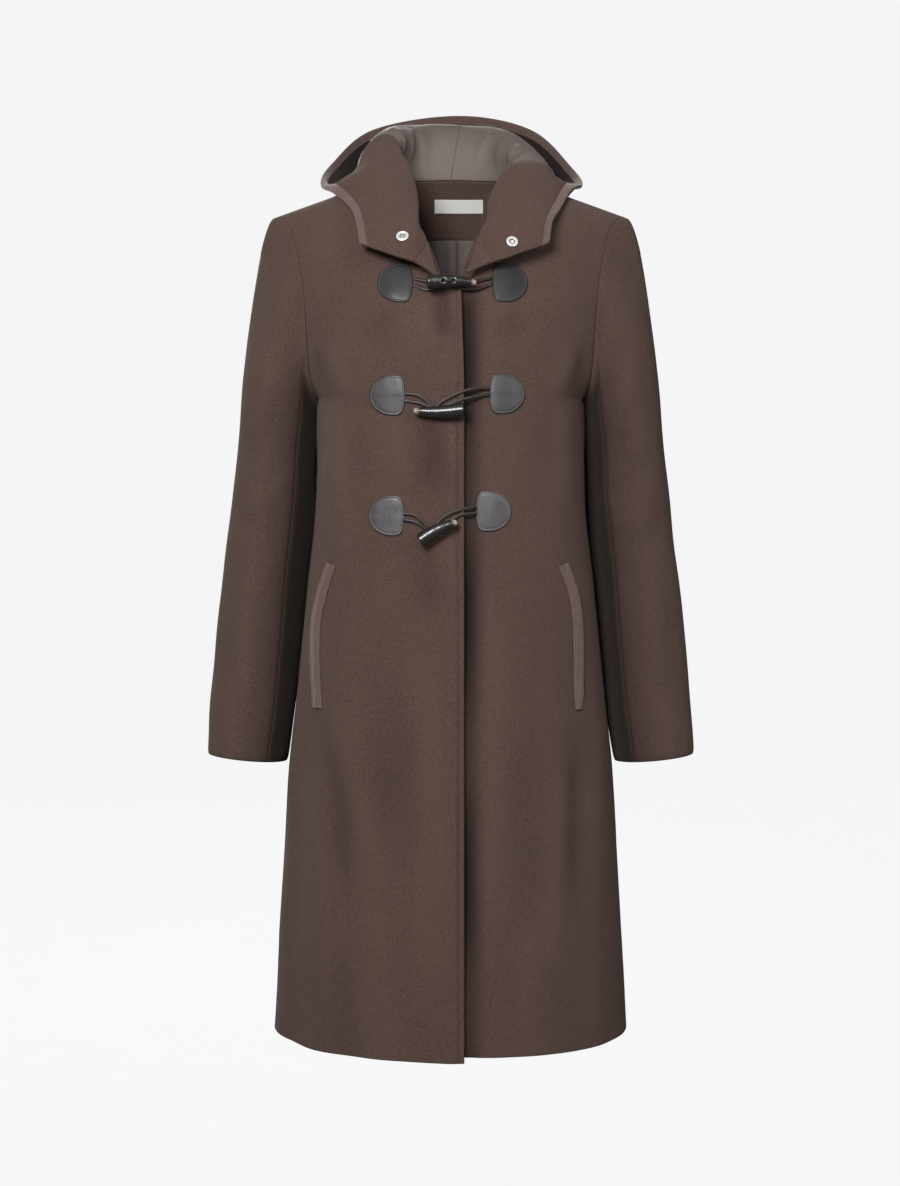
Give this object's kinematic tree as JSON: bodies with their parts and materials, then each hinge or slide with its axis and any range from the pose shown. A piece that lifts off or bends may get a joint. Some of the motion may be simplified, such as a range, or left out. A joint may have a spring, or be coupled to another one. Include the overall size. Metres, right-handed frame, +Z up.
{
  "type": "duffle coat",
  "caption": "Knee-length hooded duffle coat, filled out as worn: wool shell lapped in front, hood lying back, toggles on leather patches, bound pocket slits, open hem and cuffs.",
  "frame": {"origin": "midway between the two shoulder seams, at the height of the side neck, where the coat hangs on its wearer", "axes": "+Z up along the wearer, -Y towards the front, +X to the wearer's left"},
  "size_m": [0.559, 0.3469, 1.0727],
  "materials": {
    "wool": "matt milled wool melton, dark warm brown",
    "satin": "smooth taupe lining with a soft sheen",
    "suede": "matt suede-like binding, a lighter brown than the wool",
    "leather": "dark smooth leather with soft highlights",
    "horn": "polished dark horn imitation",
    "woven": "plain white woven label",
    "steel": "bright nickel plate"
  },
  "bodies": {
    "root": {"back": "wool", "front_left": "wool", "front_right": "wool", "front_facing_left": "wool", "front_facing_right": "wool", "sleeve_upper_left": "wool", "sleeve_upper_right": "wool", "sleeve_under_left": "wool", "sleeve_under_right": "wool", "hood_left": "wool", "hood_right": "wool", "hood_facing_left": "wool", "hood_facing_right": "wool", "neck_facing": "wool", "hood_lining_left": "satin", "hood_lining_right": "satin", "back_lining": "satin", "hood_binding": "suede", "pocket_welt_left": "suede", "pocket_welt_right": "suede", "patch_top_left": "leather", "patch_top_right": "leather", "patch_middle_left": "leather", "patch_middle_right": "leather", "patch_low_left": "leather", "patch_low_right": "leather", "cord_top": "leather", "cord_middle": "leather", "cord_low": "leather", "loop_top": "leather", "loop_middle": "leather", "loop_low": "leather", "toggle_top": "horn", "toggle_middle": "horn", "toggle_low": "horn", "neck_label": "woven", "snap_left": "steel", "snap_right": "steel"}
  },
  "joints": []
}
